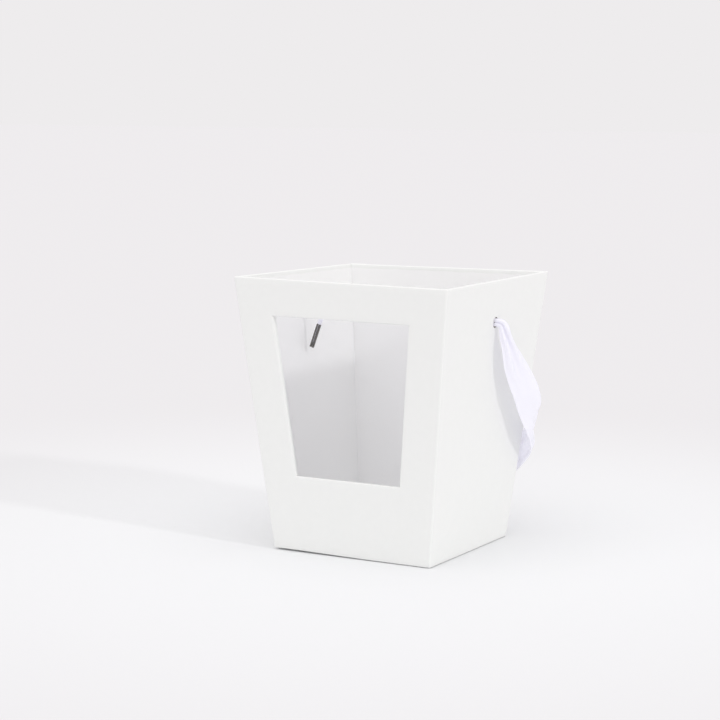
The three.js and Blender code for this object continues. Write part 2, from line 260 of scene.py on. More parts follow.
# %% [markdown]
# ## Window film
#
# The window is clear polyester film, 0.2 mm thick. Nothing that thin bends the light behind it, so
# each face passes light straight through and mirrors a little of it, more at a glance than head on.
# Schlick's curve gives that share from the angle: 5% head on for a refractive index of 1.57.


# %% Film material
def film_material():
    """Clear film: a straight view through, with a thin mirror that grows at a glance."""
    material, tree, output = new_material("clear polyester film")
    facing = add_node(tree, "ShaderNodeLayerWeight", {"Blend": 0.5}).outputs["Facing"]
    rise = add_node(tree, "ShaderNodeMath", {0: facing, 1: 5.0}, operation="POWER")
    share = add_node(tree, "ShaderNodeMapRange", {
        "Value": rise.outputs[0], "To Min": 0.05, "To Max": 1.0,
    })
    clear = add_node(tree, "ShaderNodeBsdfTransparent", {"Color": linear("#FEFEFF")})
    mirror = add_node(tree, "ShaderNodeBsdfAnisotropic", {"Roughness": 0.03})
    pane = add_node(tree, "ShaderNodeMixShader", {
        "Fac": share.outputs["Result"],
        1: clear.outputs["BSDF"],
        2: mirror.outputs["BSDF"],
    })
    tree.links.new(pane.outputs["Shader"], output.inputs["Surface"])
    return material


clear_film = film_material()
print("window:", clear_film.name)

# %% [markdown]
# ## Satin ribbon
#
# The handle is 25 mm polyester satin. In a satin weave most of the surface is long warp threads that run
# along the ribbon, side by side, so it shines in streaks and looks smooth. Real threads lie 0.1 mm
# apart, too fine to see, so they are drawn 0.4 mm apart. A tighter woven edge, the selvedge, stops the
# sides from fraying. The cloth is thin enough for light to pass through it. Its fibre holds a real
# optical brightener, and a painted glow stands in for it: a constant blue-white emission that lightens
# the ribbon and its shaded side under any light. The pattern reads the ribbon's own UV map, which is in
# metres across and along it.

# %% Ribbon sizes
RIBBON_WIDTH = 25 * MM
RIBBON_THICKNESS = 0.28 * MM
SELVEDGE = 0.9 * MM
THREAD = 0.4 * MM
LIGHT_THROUGH = 0.42  # share of the light that passes through the cloth
# Painted glow: a constant blue-white emission that shines under any light and lightens the ribbon and
# its shaded side. It stands in for the fibre's real optical brightener.
PAINTED_GLOW = 0.09  # extra blue-white light from the fibre's optical brightener
print(f"ribbon {RIBBON_WIDTH / MM:.0f} mm wide and {RIBBON_THICKNESS / MM:.2f} mm thick")


# %% Satin material
def satin_material():
    """White polyester satin, with its threads along V, and a painted blue-white glow."""
    material, tree, output = new_material("polyester satin ribbon, white")
    place = add_node(tree, "ShaderNodeUVMap", uv_map="UVMap").outputs["UV"]
    parts = add_node(tree, "ShaderNodeSeparateXYZ", {"Vector": place})
    phase = add_node(tree, "ShaderNodeMath", {
        0: parts.outputs["X"], 1: math.tau / THREAD,
    }, operation="MULTIPLY")
    threads = add_node(tree, "ShaderNodeMath", {0: phase.outputs[0]}, operation="SINE")
    longways = add_node(tree, "ShaderNodeMapping", {
        "Vector": place, "Scale": (1 / (0.8 * MM), 1 / (14 * MM), 1),
    })
    streaks = add_node(tree, "ShaderNodeTexNoise", {"Vector": longways.outputs["Vector"], "Scale": 1.0})
    from_middle = add_node(tree, "ShaderNodeMath", {
        0: parts.outputs["X"], 1: RIBBON_WIDTH / 2,
    }, operation="SUBTRACT")
    offset = add_node(tree, "ShaderNodeMath", {0: from_middle.outputs[0]}, operation="ABSOLUTE")
    edge = add_node(tree, "ShaderNodeMath", {
        0: offset.outputs[0], 1: RIBBON_WIDTH / 2 - SELVEDGE,
    }, operation="GREATER_THAN")
    ribs_phase = add_node(tree, "ShaderNodeMath", {
        0: parts.outputs["Y"], 1: math.tau / THREAD,
    }, operation="MULTIPLY")
    ribs = add_node(tree, "ShaderNodeMath", {0: ribs_phase.outputs[0]}, operation="SINE")
    weave = add_node(tree, "ShaderNodeMix", {
        "Factor": edge.outputs[0], "A": threads.outputs[0], "B": ribs.outputs[0],
    })
    tone = add_node(tree, "ShaderNodeMix", {"Factor": streaks.outputs["Fac"]}, data_type="RGBA")
    tone.inputs["A"].default_value = linear("#F3F2F8")
    tone.inputs["B"].default_value = linear("#F9F9FC")
    fine = add_node(tree, "ShaderNodeBump", {"Height": weave.outputs["Result"], "Distance": 0.01 * MM})
    broad = add_node(tree, "ShaderNodeBump", {
        "Height": streaks.outputs["Fac"], "Distance": 0.12 * MM, "Normal": fine.outputs["Normal"],
    })
    shader = add_node(tree, "ShaderNodeBsdfPrincipled", {
        "Base Color": tone.outputs["Result"],
        "Roughness": 0.36,
        "IOR": 1.55,
        "Anisotropic": 0.6,
        "Sheen Weight": 0.15,
        # Painted glow: constant blue-white emission in place of the optical brightener's fluorescence.
        "Emission Color": linear("#F6F5FF"),
        "Emission Strength": PAINTED_GLOW / (1 - LIGHT_THROUGH),
        "Normal": broad.outputs["Normal"],
    })
    along = add_node(tree, "ShaderNodeTangent", direction_type="UV_MAP", uv_map="UVMap")
    tree.links.new(along.outputs["Tangent"], shader.inputs["Tangent"])
    through = add_node(tree, "ShaderNodeBsdfTranslucent", {"Color": tone.outputs["Result"]})
    cloth = add_node(tree, "ShaderNodeMixShader", {
        "Fac": LIGHT_THROUGH,
        1: shader.outputs["BSDF"],
        2: through.outputs["BSDF"],
    })
    tree.links.new(cloth.outputs["Shader"], output.inputs["Surface"])
    return material


satin = satin_material()
print("ribbon:", satin.name)

# %% [markdown]
# ## Blackened steel
#
# The barbs are stamped from thin steel strip with a black nickel finish: a dark metal, neither
# polished nor matt, with fine marks along the strip from rolling. The marks are stretched noise,
# 0.09 mm wide and 6 mm long, and they vary the gloss too. From the camera's place they are too fine
# to tell apart, and only close up do they show, as on the real strip.


# %% Steel material
def steel_material():
    """Thin steel strip, black-nickel plated, with rolling marks along Z."""
    material, tree, output = new_material("black nickel on steel strip")
    place = add_node(tree, "ShaderNodeTexCoord").outputs["Object"]
    stretched = add_node(tree, "ShaderNodeMapping", {
        "Vector": place, "Scale": (1 / (0.09 * MM), 1 / (0.09 * MM), 1 / (6 * MM)),
    })
    marks = add_node(tree, "ShaderNodeTexNoise", {"Vector": stretched.outputs["Vector"], "Scale": 1.0})
    tone = add_node(tree, "ShaderNodeMix", {"Factor": marks.outputs["Fac"]}, data_type="RGBA")
    tone.inputs["A"].default_value = linear("#45433F")
    tone.inputs["B"].default_value = linear("#605D59")
    gloss = add_node(tree, "ShaderNodeMapRange", {
        "Value": marks.outputs["Fac"], "To Min": 0.3, "To Max": 0.5,
    })
    bump = add_node(tree, "ShaderNodeBump", {"Height": marks.outputs["Fac"], "Distance": 0.002 * MM})
    shader = add_node(tree, "ShaderNodeBsdfPrincipled", {
        "Base Color": tone.outputs["Result"],
        "Metallic": 1.0,
        "Roughness": gloss.outputs["Result"],
        "Normal": bump.outputs["Normal"],
    })
    tree.links.new(shader.outputs["BSDF"], output.inputs["Surface"])
    return material


dark_steel = steel_material()
print("barbs:", dark_steel.name)

# %% [markdown]
# ## How a made box settles
#
# A glued box is never quite true. Its rim twists by a millimetre, its walls bow in a hair between
# the corners, and here one corner of the foot stands a little off the table. One function gives
# that to every layer alike, so that the layers stay in their order.

# %% Settling
RIM_TWIST = 1.4 * MM
WALL_BOW = 0.3 * MM
FOOT_LIFT = 1.1 * MM
LIFT_SPREAD = 60 * MM
LIFT_FADE = 30 * MM


def settle(point):
    """Where a point of a perfect box comes to lie on the made one."""
    x, y, z = point
    half = half_width(z)
    twist = RIM_TWIST / 2 * (1 + x * y / half**2) * (z / HEIGHT) ** 2
    from_corner = math.hypot(x + FOOT_WIDTH / 2, y + FOOT_WIDTH / 2)
    lift = FOOT_LIFT * math.exp(-((from_corner / LIFT_SPREAD) ** 2) - z / LIFT_FADE)
    on_side_wall = abs(x) > abs(y)
    across = y if on_side_wall else x
    bow = WALL_BOW * math.cos(math.pi / 2 * across / half) * math.sin(math.pi * z / HEIGHT)
    if on_side_wall:
        x -= math.copysign(bow, x)
    else:
        y -= math.copysign(bow, y)
    return x, y, z + twist + lift


foot_corner = settle((-FOOT_WIDTH / 2, -FOOT_WIDTH / 2, 0.0))
print(f"the front left foot stands {foot_corner[2] / MM:.1f} mm off the table")

# %% [markdown]
# ## Marking out a sheet
#
# Every paper layer is a sheet folded round the box. It is described as a craftsman would mark it
# out: stations along it, counted from the upright folds, and rows from its lower edge to its upper
# one. A station is (side, kind, value, lift): value is a distance from the left or right fold, a
# share of the way across the window with a margin, or an angle round a corner, and lift raises the
# sheet off the layer below. A row is (depth, z, facing), where facing is the angle that the face
# side looks: 0 out, 90 up, 180 in.

# %% Marking out
FRONT, RIGHT, BACK, LEFT = range(4)
CORNER_RADIUS = 1.2 * MM  # outside of the wrap at an upright fold
INNER_RADIUS = 0.4 * MM  # the layers deeper in all fold this tightly
CORNER_STEPS = 5


def corner_radius(depth):
    """The radius of an upright fold on the layer at this depth."""
    return max(CORNER_RADIUS - depth, INNER_RADIUS)


def on_side(side, along, out, z):
    """Turn a point on the front wall to another side."""
    turn = side * math.pi / 2
    x, y = along, -out
    return x * math.cos(turn) - y * math.sin(turn), x * math.sin(turn) + y * math.cos(turn), z


def sheet_point(station, row, base_depth):
    """The point of a sheet at a station and a row. Its stations are measured at base_depth."""
    side, kind, value, lift = station
    depth, z, facing = row
    depth -= lift * math.cos(math.radians(facing))
    z += lift * math.sin(math.radians(facing))
    half, base_half = half_width(z, depth), half_width(z, base_depth)
    bend, base_bend = corner_radius(depth), corner_radius(base_depth)
    if kind == "corner":
        spoke = math.radians(value)
        straight = half - bend
        return on_side(side, straight + bend * math.sin(spoke), straight + bend * math.cos(spoke), z)
    if kind == "left":
        along = value - base_half
    elif kind == "right":
        along = base_half - value
    else:
        share, margin = value
        along = (2 * share - 1) * (half_width(z) - margin)
    along *= (half - bend) / (base_half - base_bend)
    return on_side(side, along, half, z)


def wall_stations(side, margin, lift=0.0, window_steps=26, offsets=(4, 10, 17, 24)):
    """Stations across one wall, dense enough to bow smoothly, with columns on the window's edges."""
    left = [(side, "left", offset * MM, lift) for offset in offsets]
    middle = [(side, "window", (i / window_steps, margin), lift) for i in range(window_steps + 1)]
    right = [(side, "right", offset * MM, lift) for offset in reversed(offsets)]
    return left + middle + right


def corner_stations(side, steps=CORNER_STEPS):
    """Stations round the fold between a side and the next one."""
    return [(side, "corner", 90 * i / steps, 0.0) for i in range(steps + 1)]


print(f"upright folds have a {CORNER_RADIUS / MM:.1f} mm radius outside, in {CORNER_STEPS} steps")

# %% [markdown]
# ## Making a piece
#
# The points of the stations and rows are joined to a mesh of quads, and Solidify gives the sheet
# its thickness, away from its face side. Modifiers are applied at once, so that each piece ends as
# a plain mesh. Edges sharper than an angle stay sharp, and the rest are shaded smooth.


# %% Making a piece
def new_piece(name, points, faces, material):
    """A mesh object from points and faces, with the material on it."""
    mesh = bpy.data.meshes.new(name)
    mesh.from_pydata([tuple(point) for point in points], [], faces)
    mesh.materials.append(material)
    piece = bpy.data.objects.new(name, mesh)
    bpy.context.scene.collection.objects.link(piece)
    return piece


def add_modifier(piece, kind, **settings):
    """Add one modifier: settings are its properties."""
    modifier = piece.modifiers.new(kind.lower(), kind)
    for name, value in settings.items():
        setattr(modifier, name, value)
    return modifier


def bake_modifiers(piece):
    """Turn what the modifiers show into the piece's own mesh."""
    graph = bpy.context.evaluated_depsgraph_get()
    mesh = bpy.data.meshes.new_from_object(piece.evaluated_get(graph))
    piece.modifiers.clear()
    piece.data = mesh


def shade(piece, angle=40):
    """Smooth shading, with edges sharper than the angle kept sharp."""
    piece.data.shade_smooth()
    piece.data.set_sharp_from_angle(angle=math.radians(angle))


def grid_faces(columns, rows, first=0, skip=lambda column, row: False):
    """Quads over a grid of points that are stored column by column, bottom to top."""
    faces = []
    for column in range(columns - 1):
        for row in range(rows - 1):
            if not skip(column, row):
                corner = first + column * rows + row
                faces.append((corner, corner + rows, corner + rows + 1, corner + 1))
    return faces


def give_thickness(piece, thickness, offset=-1.0, even=True):
    """Solidify away from the face side and keep the result."""
    add_modifier(
        piece, "SOLIDIFY", thickness=thickness, offset=offset,
        use_even_offset=even, use_quality_normals=True,
    )
    bake_modifiers(piece)


def round_edges(piece, width, sharper_than):
    """Bevel every edge that is sharper than this angle, and keep the result."""
    angle_limit = math.radians(sharper_than)
    add_modifier(piece, "BEVEL", width=width, segments=2, limit_method="ANGLE", angle_limit=angle_limit)
    bake_modifiers(piece)


print(f"a grid of 3 by 3 points gives {len(grid_faces(3, 3))} faces")

# %% [markdown]
# ## The ribbon holes
#
# Both side walls are punched right through for the ribbon after the box is glued, so every layer
# there gets the same round hole. A Boolean with one long rod cuts them as the punch does.

# %% Punch
HOLE_DROP = 30 * MM  # from the rim to the hole's centre
HOLE_Z = HEIGHT - HOLE_DROP
HOLE_RADIUS = 4 * MM
HOLE_SIDES = 64


def punch_ribbon_holes(piece):
    """Cut both ribbon holes through a piece."""
    cutter = bmesh.new()
    bmesh.ops.create_cone(
        cutter, cap_ends=True, segments=HOLE_SIDES, radius1=HOLE_RADIUS, radius2=HOLE_RADIUS,
        depth=2 * TOP_WIDTH,
        matrix=Matrix.Translation((0, 0, HOLE_Z)) @ Matrix.Rotation(math.pi / 2, 4, "Y"),
    )
    mesh = bpy.data.meshes.new("punch")
    cutter.to_mesh(mesh)
    cutter.free()
    rod = bpy.data.objects.new("punch", mesh)
    bpy.context.scene.collection.objects.link(rod)
    add_modifier(piece, "BOOLEAN", operation="DIFFERENCE", solver="EXACT", object=rod)
    bake_modifiers(piece)
    bpy.data.objects.remove(rod)


print(f"ribbon holes are {2 * HOLE_RADIUS / MM:.0f} mm across, {HOLE_Z / MM:.0f} mm above the foot")

# %% [markdown]
# ## The wrap
#
# The wrap is the main piece: one sheet of art paper that goes all round the box. It starts on the
# back wall, passes all four sides and laps over its own start beside the back left fold. At the rim
# it is turned in over the board, and at the foot it is turned under. At the corners of those turned
# edges the paper is cut to a mitre, which leaves a fine slit. It could be a boxy shell with bevelled
# edges, but a sheet that is folded by rule has true folds, cut edges and a lap, as paper has.

# %% Wrap profile
WINDOW_SIDE_MARGIN = 28 * MM
WINDOW_LOW = 57 * MM
WINDOW_DROP = 26.7 * MM  # from the rim to the window's upper edge
WINDOW_HIGH = HEIGHT - WINDOW_DROP
FOOT_RADIUS = 0.8 * MM
RIM_RADIUS = 0.9 * MM
EDGE_RADIUS = 0.7 * MM  # the fold round the window
FOOT_TURN = 15 * MM
RIM_TURN = 14 * MM
FOLD_STEPS = 5


def fold_rows(depth, z, radius, start, end):
    """Rows round a fold, between two facing angles."""
    angles = np.linspace(start, end, FOLD_STEPS + 1)
    return [
        (depth - radius * math.cos(math.radians(a)), z + radius * math.sin(math.radians(a)), a)
        for a in angles
    ]


window_rows = list(np.linspace(WINDOW_LOW - EDGE_RADIUS, WINDOW_HIGH + EDGE_RADIUS, 32))
below_window = list(np.linspace(WRAP_LOW + FOOT_RADIUS, window_rows[0], 15)[1:-1])
above_window = list(np.linspace(window_rows[-1], HEIGHT - RIM_RADIUS, 8)[1:-1])
wrap_rows = (
    [(depth, WRAP_LOW, -90) for depth in np.linspace(FOOT_TURN, FOOT_RADIUS, 6)[:-1]]
    + fold_rows(FOOT_RADIUS, WRAP_LOW + FOOT_RADIUS, FOOT_RADIUS, -90, 0)
    + [(0.0, z, 0) for z in below_window + window_rows + above_window]
    + fold_rows(RIM_RADIUS, HEIGHT - RIM_RADIUS, RIM_RADIUS, 0, 90)
    + fold_rows(TURN_IN - RIM_RADIUS, HEIGHT - RIM_RADIUS, RIM_RADIUS, 90, 180)
    + [(TURN_IN, HEIGHT - drop, 180) for drop in np.linspace(RIM_RADIUS, RIM_TURN, 5)[1:]]
)
print(f"wrap profile: {len(wrap_rows)} rows from the foot's turn-in to the rim's")

# %% [markdown]
# ### The window's flaps
#
# The window is cut out of the front, and four flaps are folded back through it. They are cut to a
# mitre too, so their ends stay a hair apart, and most at the top left corner, where the knife ran
# over. The left flap isn't pulled quite tight at its top, so it leans into the window there.

# %% Window flaps
FLAP_TURN = 10 * MM
MITRE_GAP = 0.12 * MM
OVERCUT = 0.5 * MM
LOOSE_FLAP = 1.3 * MM


def flap_profile():
    """[reach into the window, shortening of each end, depth], from the wall's face inwards."""
    turns = np.radians(np.linspace(0, 90, FOLD_STEPS + 1))
    radius = EDGE_RADIUS
    outer = [(radius * (math.sin(a) - 1), radius * (1 - math.cos(a))) for a in turns]
    inner = [(radius * (math.cos(a) - 1), TURN_IN - radius * (1 - math.sin(a))) for a in turns]
    rows = [(reach, reach, depth) for reach, depth in outer]
    rows += [(reach, -reach, depth) for reach, depth in inner]
    back = np.linspace(radius, FLAP_TURN, 5)[1:]
    return rows + [(-reach, reach, TURN_IN) for reach in back]


def flap_point(edge, share, reach, shorten, depth):
    """A point of the flap on one edge of the window."""
    opened = min(depth / TURN_IN, 1.0)
    gap = MITRE_GAP * opened
    overcut = OVERCUT * opened
    low, high = WINDOW_LOW + shorten + gap, WINDOW_HIGH - shorten - gap
    if edge in ("left", "right"):
        if edge == "left":
            high -= overcut
            reach += LOOSE_FLAP * opened * share**1.5
        z = low + share * (high - low)
        along = half_width(z) - WINDOW_SIDE_MARGIN - reach
        along = -along if edge == "left" else along
    else:
        z = WINDOW_HIGH - reach if edge == "top" else WINDOW_LOW + reach
        end = half_width(z) - WINDOW_SIDE_MARGIN - shorten - gap
        start = -end + (overcut if edge == "top" else 0)
        along = start + share * (end - start)
    return on_side(FRONT, along, half_width(z, depth), z)


def window_flap(edge, shares, first):
    """Points and faces of one flap."""
    profile = flap_profile()
    if edge in ("top", "right"):
        profile.reverse()
    if edge in ("top", "bottom"):
        points = [flap_point(edge, share, *row) for share in shares for row in profile]
        return points, grid_faces(len(shares), len(profile), first)
    points = [flap_point(edge, share, *row) for row in profile for share in shares]
    return points, grid_faces(len(profile), len(shares), first)


window_height = WINDOW_HIGH - WINDOW_LOW
print(f"the window is {window_height / MM:.0f} mm high, with flaps of {FLAP_TURN / MM:.0f} mm")

# %% [markdown]
# ### The wrap's lap and cuts
#
# The sheet's end lies over its start, so its last stations are raised by one thickness of paper and
# a little glue. The knife takes away the window, the corners of both turned edges, and the turned
# edges of the start, which would be too thick under the lap. Each of those is a rule on the cells
# of the grid, which is simpler than cutting the finished mesh with a Boolean.

# %% Lap and cuts
MITRE_TOP = HEIGHT - 3 * MM  # the slit in each corner of the turned-in rim ends here
SEAM_LAP = 12 * MM
SEAM_SETBACK = 1.6 * MM
SEAM_LIFT = PAPER + 0.06 * MM
EDGE_MARGIN = WINDOW_SIDE_MARGIN - EDGE_RADIUS


def seam_lifted(station):
    """Raise the end of the sheet where it lies over the start."""
    side, kind, value, _ = station
    return (side, kind, value, SEAM_LIFT if kind == "right" and value < SEAM_LAP + 3 * MM else 0.0)


def wrap_stations():
    """Stations once round the box and over the start."""
    start = [(BACK, "right", offset * MM, 0.0) for offset in (12, 9, 6, 3)]
    middle = []
    for side in (LEFT, FRONT, RIGHT):
        middle += wall_stations(side, EDGE_MARGIN) + corner_stations(side)
    back = wall_stations(BACK, EDGE_MARGIN, offsets=(1.7, 4, 8, 11, 14, 17, 24))[:-1]
    end = [seam_lifted(station) for station in back] + [(BACK, "right", SEAM_SETBACK, SEAM_LIFT)]
    return start + corner_stations(BACK) + middle + end


def wrap_is_cut(stations, rows):
    """Which cells of the wrap the knife takes away."""
    wall_rows = [i for i, row in enumerate(rows) if row[2] == 0]

    def skip(column, row):
        (side, kind, value, _), after = stations[column], stations[column + 1]
        depth, z, facing = rows[row]
        middle = (z + rows[row + 1][1]) / 2
        turned_in = (facing == 180 and z < MITRE_TOP) or (facing == -90 and rows[row + 1][2] == -90)
        if kind == "corner" and after[1] == "corner" and turned_in:
            return True
        under_lap = side == BACK and kind == "right" and column < 3
        if under_lap and row not in wall_rows[:-1]:
            return True
        in_window = kind == after[1] == "window" and side == FRONT and facing == 0
        return in_window and window_rows[0] < middle < window_rows[-1]

    return skip


print(f"wrap: {len(wrap_stations())} stations round the box")

# %% [markdown]
# ### The wrap as a mesh
#
# The folded sheet and its flaps share their edge round the window, so their doubled points are
# merged there before Solidify. Then the sheet gets its thickness and the holes are punched.


# %% The wrap
def make_wrap():
    """The wrap as one folded sheet, with its window flaps joined on."""
    stations, rows = wrap_stations(), wrap_rows
    points = [sheet_point(station, row, 0.0) for station in stations for row in rows]
    faces = grid_faces(len(stations), len(rows), skip=wrap_is_cut(stations, rows))
    across = np.linspace(0, 1, 27)
    upward = [(z - window_rows[0]) / (window_rows[-1] - window_rows[0]) for z in window_rows]
    for edge, shares in (("top", across), ("bottom", across), ("left", upward), ("right", upward)):
        more_points, more_faces = window_flap(edge, shares, len(points))
        points += more_points
        faces += more_faces
    piece = new_piece("wrap_sheet", [settle(point) for point in points], faces, art_paper)
    tidy = bmesh.new()
    tidy.from_mesh(piece.data)
    bmesh.ops.remove_doubles(tidy, verts=tidy.verts, dist=0.002 * MM)
    bmesh.ops.delete(tidy, geom=[v for v in tidy.verts if not v.link_faces], context="VERTS")
    tidy.to_mesh(piece.data)
    tidy.free()
    give_thickness(piece, PAPER)
    punch_ribbon_holes(piece)
    shade(piece)
    return piece


wrap = make_wrap()
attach(wrap, "box")
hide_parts("outer_wrap")
print(f"wrap: {len(wrap.data.polygons)} faces")

# %% [markdown]
# ## Board, tape and flat papers
#
# The five greyboard panels carry the box. Their shapes in the frame are right, so each is a copy of
# its CAD node: the loose triangles are merged, the faces are divided so that they can settle with
# the wrap, and the cut edges get the small crush that a guillotine leaves. The base lining and the
# underside paper are made the same way.


# %% Settled copies
def settled_copy(node, name, material, edge, cuts=5):
    """A CAD node's shape, settled with the rest, with its edges rounded by a small radius."""
    work = bmesh.new()
    work.from_mesh(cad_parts[node].data)
    bmesh.ops.remove_doubles(work, verts=work.verts, dist=0.001 * MM)
    bmesh.ops.dissolve_limit(work, angle_limit=math.radians(1), verts=work.verts, edges=work.edges)
    bmesh.ops.triangulate(work, faces=work.faces)
    long_edges = [e for e in work.edges if e.calc_length() > 15 * MM]
    bmesh.ops.subdivide_edges(work, edges=long_edges, cuts=cuts, use_grid_fill=True)
    bmesh.ops.triangulate(work, faces=work.faces)
    mesh = bpy.data.meshes.new(name)
    work.to_mesh(mesh)
    work.free()
    for vertex in mesh.vertices:
        vertex.co = settle(vertex.co)
    mesh.materials.append(material)
    piece = bpy.data.objects.new(name, mesh)
    bpy.context.scene.collection.objects.link(piece)
    round_edges(piece, edge, sharper_than=50)
    shade(piece)
    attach(piece, "box")
    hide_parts(node)
    return piece


BOARD_EDGE = 0.08 * MM
PAPER_EDGE = 0.02 * MM
for side_name in ("front", "back", "left", "right", "base"):
    panel = settled_copy(f"{side_name}_board", f"{side_name}_panel", greyboard, BOARD_EDGE)
    print(f"{panel.name}: {len(panel.data.polygons)} faces")
floor_sheet = settled_copy("base_lining", "base_lining_sheet", lining_paper, PAPER_EDGE)
foot_sheet = settled_copy("underside_paper", "underside_sheet", art_paper, PAPER_EDGE)

# %% [markdown]
# ## Corner tapes
#
# Gummed tape is folded round each upright corner before the wrap goes on. It is a plain strip with
# one rounded fold, from the same stations as the wrap. Nobody sees it until the box is torn open.

# %% Corner tapes
TAPE_DEPTH = PAPER + GLUE_GAP
TAPE = 0.2 * MM
TAPE_REACH = 15 * MM
BOARD_LOW = WRAP_LOW + PAPER + GLUE_GAP
BOARD_HIGH = HEIGHT - PAPER - GLUE_GAP


def corner_tape(name, side):
    """The tape on the corner between a side and the next one."""
    reaches = (TAPE_REACH, TAPE_REACH * 0.6, TAPE_REACH * 0.3)
    stations = [(side, "right", reach, 0.0) for reach in reaches] + corner_stations(side)
    stations += [((side + 1) % 4, "left", reach, 0.0) for reach in reversed(reaches)]
    rows = [(TAPE_DEPTH, z, 0) for z in np.linspace(BOARD_LOW, BOARD_HIGH, 24)]
    points = [settle(sheet_point(station, row, TAPE_DEPTH)) for station in stations for row in rows]
    piece = new_piece(f"{name}_tape", points, grid_faces(len(stations), len(rows)), kraft_tape)
    give_thickness(piece, TAPE)
    shade(piece)
    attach(piece, "box")
    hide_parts(f"{name}_corner_tape")


CORNERS = {"front_right": FRONT, "back_right": RIGHT, "back_left": BACK, "front_left": LEFT}
for corner_name, corner_side in CORNERS.items():
    corner_tape(corner_name, corner_side)
print(f"{len(CORNERS)} corner tapes")

# %% [markdown]
# ## Linings
#
# The lining hides the board and the turned-in edges. The sheets on the side walls are glued in
# first, with a narrow flap folded round each corner, and those on the front and back lie over the
# flaps and stop a little short of the corners. That leaves one soft fold and one fine paper edge in
# every inner corner. Their upper edge is cut by hand, so it wavers by a fraction of a millimetre.

# %% Linings
LINING_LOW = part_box("left_lining")[0][2]
LINING_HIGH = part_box("left_lining")[1][2]
SIDE_DEPTH = TURN_IN + GLUE_GAP + PAPER  # face side of the lining on the side walls
OVER_DEPTH = SIDE_DEPTH + 0.05 * MM + PAPER  # and of the one that lies over their flaps
LINING_FLAP = 9 * MM
LINING_SETBACK = 2 * MM
WAVER = 0.25 * MM


def lining_rows(depth):
    """Rows up the wall, with one on each edge of the cut-out round the window."""
    heights = sorted(
        list(np.linspace(LINING_LOW, WINDOW_LOW - LINING_SETBACK, 10))
        + list(np.linspace(WINDOW_LOW - LINING_SETBACK, WINDOW_HIGH + LINING_SETBACK, 22)[1:-1])
        + list(np.linspace(WINDOW_HIGH + LINING_SETBACK, LINING_HIGH, 7))
    )
    return [(depth, z, 180) for z in heights]


def lining_stations(side, folded):
    """Stations across one wall. A folded sheet turns round both corners."""
    margin = WINDOW_SIDE_MARGIN - LINING_SETBACK
    if not folded:
        return wall_stations(side, margin, window_steps=20, offsets=(1.2, 4, 10, 16, 20))
    before, after = (side - 1) % 4, (side + 1) % 4
    flap = (LINING_FLAP, LINING_FLAP * 0.6, LINING_FLAP * 0.25)
    return (
        [(before, "right", reach, 0.0) for reach in flap]
        + corner_stations(before)
        + wall_stations(side, margin, window_steps=20, offsets=(2, 5, 10, 16, 20))
        + corner_stations(side)
        + [(after, "left", reach, 0.0) for reach in reversed(flap)]
    )


def make_lining(name, side, depth, folded):
    """One lining sheet, cut, folded and given its thickness."""
    stations, rows = lining_stations(side, folded), lining_rows(depth)
    window_edges = (WINDOW_LOW - LINING_SETBACK, WINDOW_HIGH + LINING_SETBACK)

    def skip(column, row):
        middle = (rows[row][1] + rows[row + 1][1]) / 2
        in_window = stations[column][1] == stations[column + 1][1] == "window"
        return side == FRONT and in_window and window_edges[0] < middle < window_edges[1]

    points = []
    for index, station in enumerate(stations):
        for row in rows:
            x, y, z = settle(sheet_point(station, row, depth))
            near_rim = max(0.0, (z - LINING_HIGH) / (10 * MM) + 1)
            points.append((x, y, z + WAVER * near_rim * math.sin(1.7 * index + side)))
    faces = [face[::-1] for face in grid_faces(len(stations), len(rows), skip=skip)]
    piece = new_piece(f"{name}_sheet", points, faces, lining_paper)
    give_thickness(piece, PAPER)
    if side in (LEFT, RIGHT):
        punch_ribbon_holes(piece)
    shade(piece)
    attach(piece, "box")
    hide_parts(name)
    print(f"{piece.name}: {len(piece.data.polygons)} faces")


make_lining("left_lining", LEFT, SIDE_DEPTH, folded=True)
make_lining("right_lining", RIGHT, SIDE_DEPTH, folded=True)
make_lining("back_lining", BACK, OVER_DEPTH, folded=False)
make_lining("front_lining", FRONT, OVER_DEPTH, folded=False)

# %% [markdown]
# ## The window film
#
# The film is glued down round the window and free across it, so it is never optically flat: a few
# broad, shallow waves catch the light. It is a fine grid, waved only where it is free.

# %% Film
FILM = 0.2 * MM
FILM_LAP = 9 * MM
FILM_OUT = TURN_IN + GLUE_GAP
FILM_WAVE = 0.1 * MM


def make_film():
    """The film, from edge to edge of its glued lap."""
    columns, rows = 40, 44
    margin = WINDOW_SIDE_MARGIN - FILM_LAP
    points = []
    for column in range(columns):
        for row in range(rows):
            share, rise = column / (columns - 1), row / (rows - 1)
            z = WINDOW_LOW - FILM_LAP + rise * (WINDOW_HIGH - WINDOW_LOW + 2 * FILM_LAP)
            free = math.sin(math.pi * share) ** 2 * math.sin(math.pi * rise) ** 2
            wave = math.sin(5 * share + 3 * rise) + 0.6 * math.sin(2 + 9 * rise - 4 * share)
            depth = FILM_OUT + FILM_WAVE * free * (1 + wave / 1.6) / 2
            along = (2 * share - 1) * (half_width(z) - margin)
            points.append(settle(on_side(FRONT, along, half_width(z, depth), z)))
    piece = new_piece("film_pane", points, grid_faces(columns, rows), clear_film)
    give_thickness(piece, FILM - FILM_WAVE / 2)
    shade(piece)
    return piece


film = make_film()
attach(film, "box")
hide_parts("window_film")
print(f"film: {len(film.data.polygons)} faces")

# %% [markdown]
# ## The ribbon's route
#
# The ribbon comes out of the right wall's hole, arches over and hangs beside the wall, rounds the back
# corner and crosses behind the box to the left wall's hole. Its route is a list of given places, close
# to the CAD handle's, joined by one smooth curve. Each place says how far the ribbon stands off, how far
# it has fallen, how wide it has spread and how it leans.

